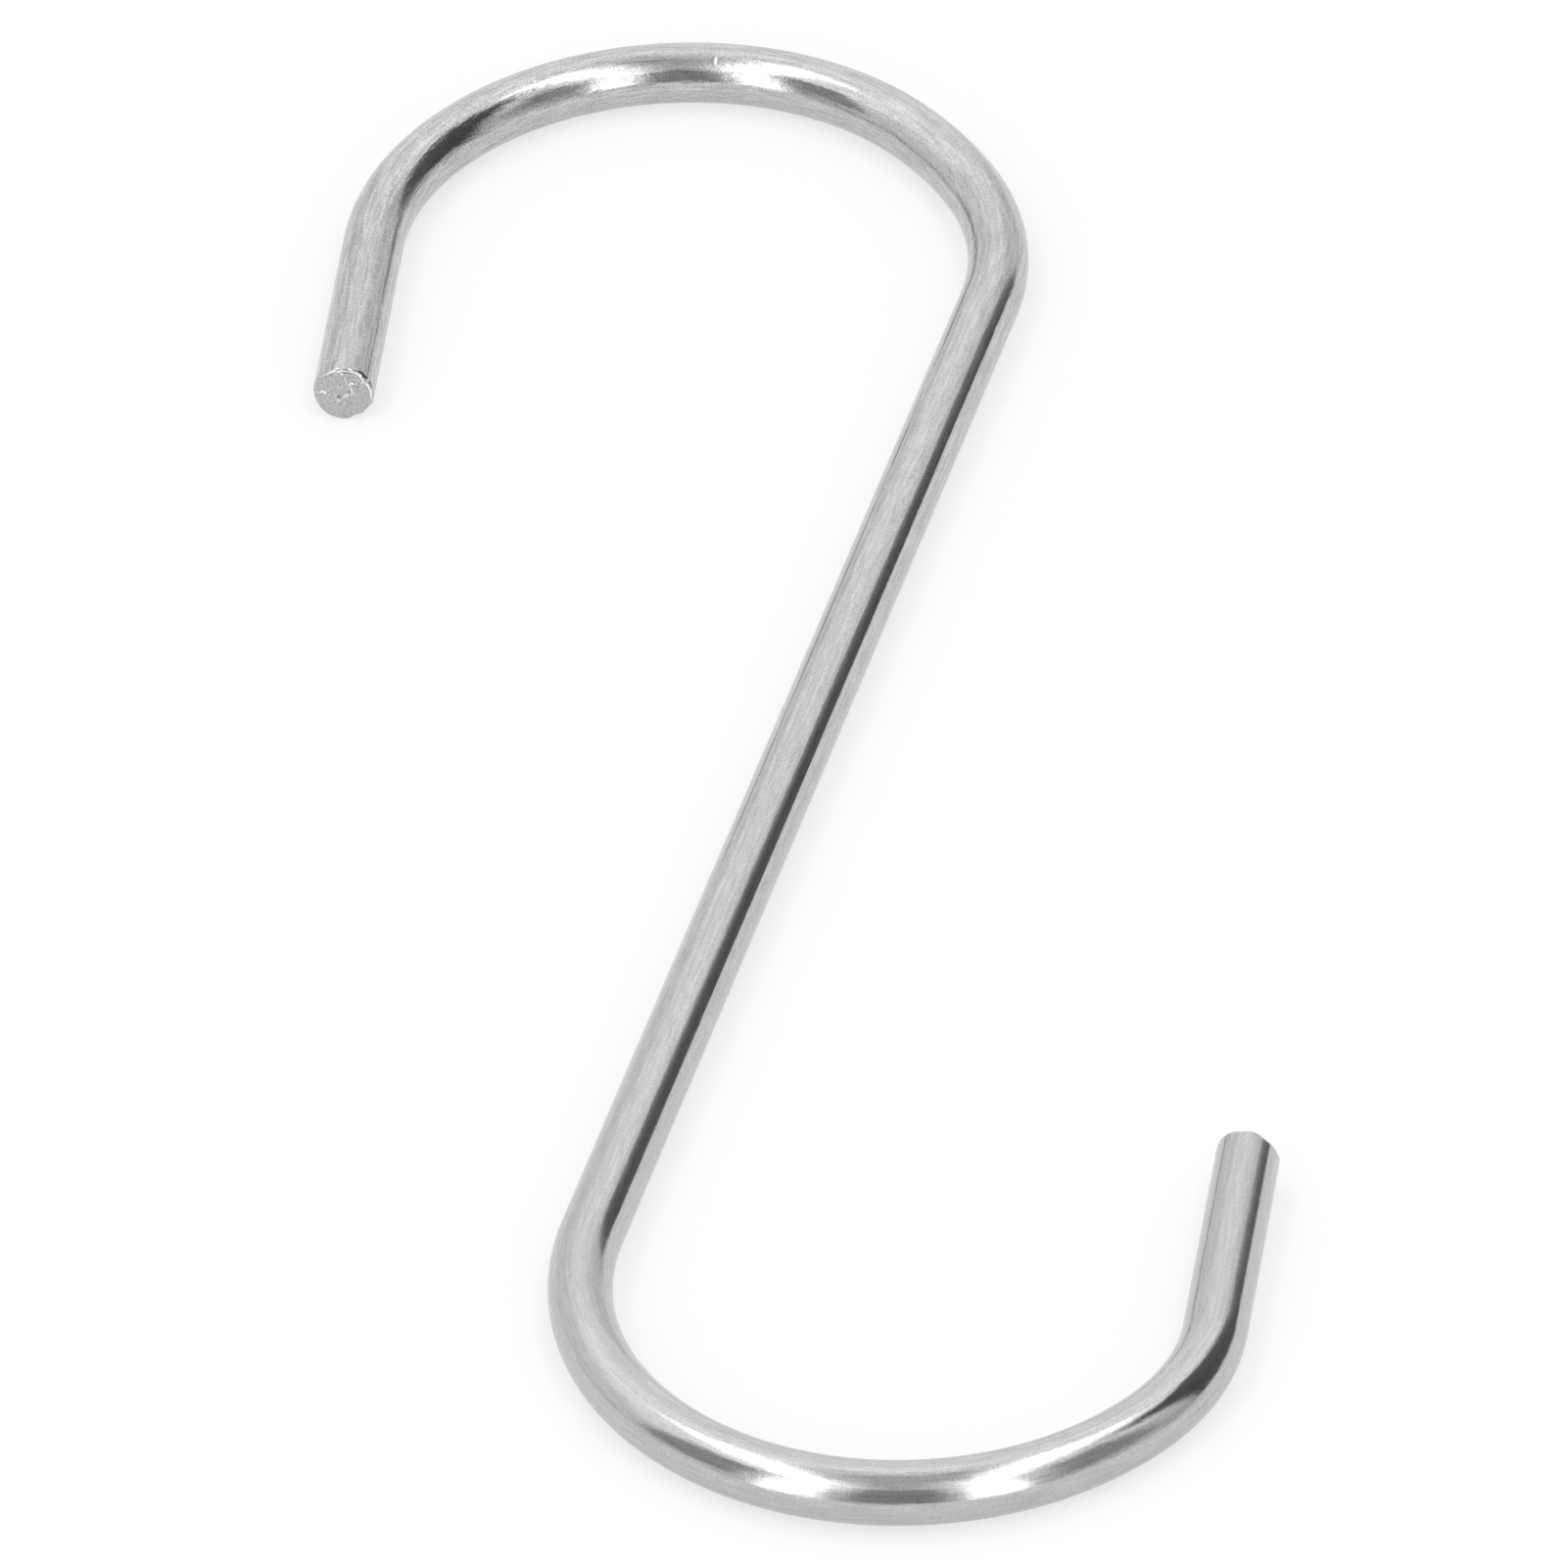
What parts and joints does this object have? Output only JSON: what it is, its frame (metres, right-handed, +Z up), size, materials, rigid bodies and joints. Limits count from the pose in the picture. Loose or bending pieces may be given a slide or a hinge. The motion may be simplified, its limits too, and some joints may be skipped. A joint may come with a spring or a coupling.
{
  "type": "s hook",
  "caption": "Open S hook bent from one length of round chrome-plated steel wire: a long straight shank with a round hook at each end, and plain sheared tips.",
  "frame": {"origin": "on the surface that the hook lies on, under the middle of its outline", "axes": "+Y along the straight shank, from the lower hook to the upper one; +Z up, square to the plane of the wire; +X to the side that the lower hook opens on"},
  "size_m": [0.0854, 0.1424, 0.004],
  "materials": {
    "chromed_wire": "bright chrome plate over drawn steel wire, with fine draw lines along it and bare grey sheared ends"
  },
  "bodies": {
    "root": {"s_hook": "chromed_wire"}
  },
  "joints": []
}
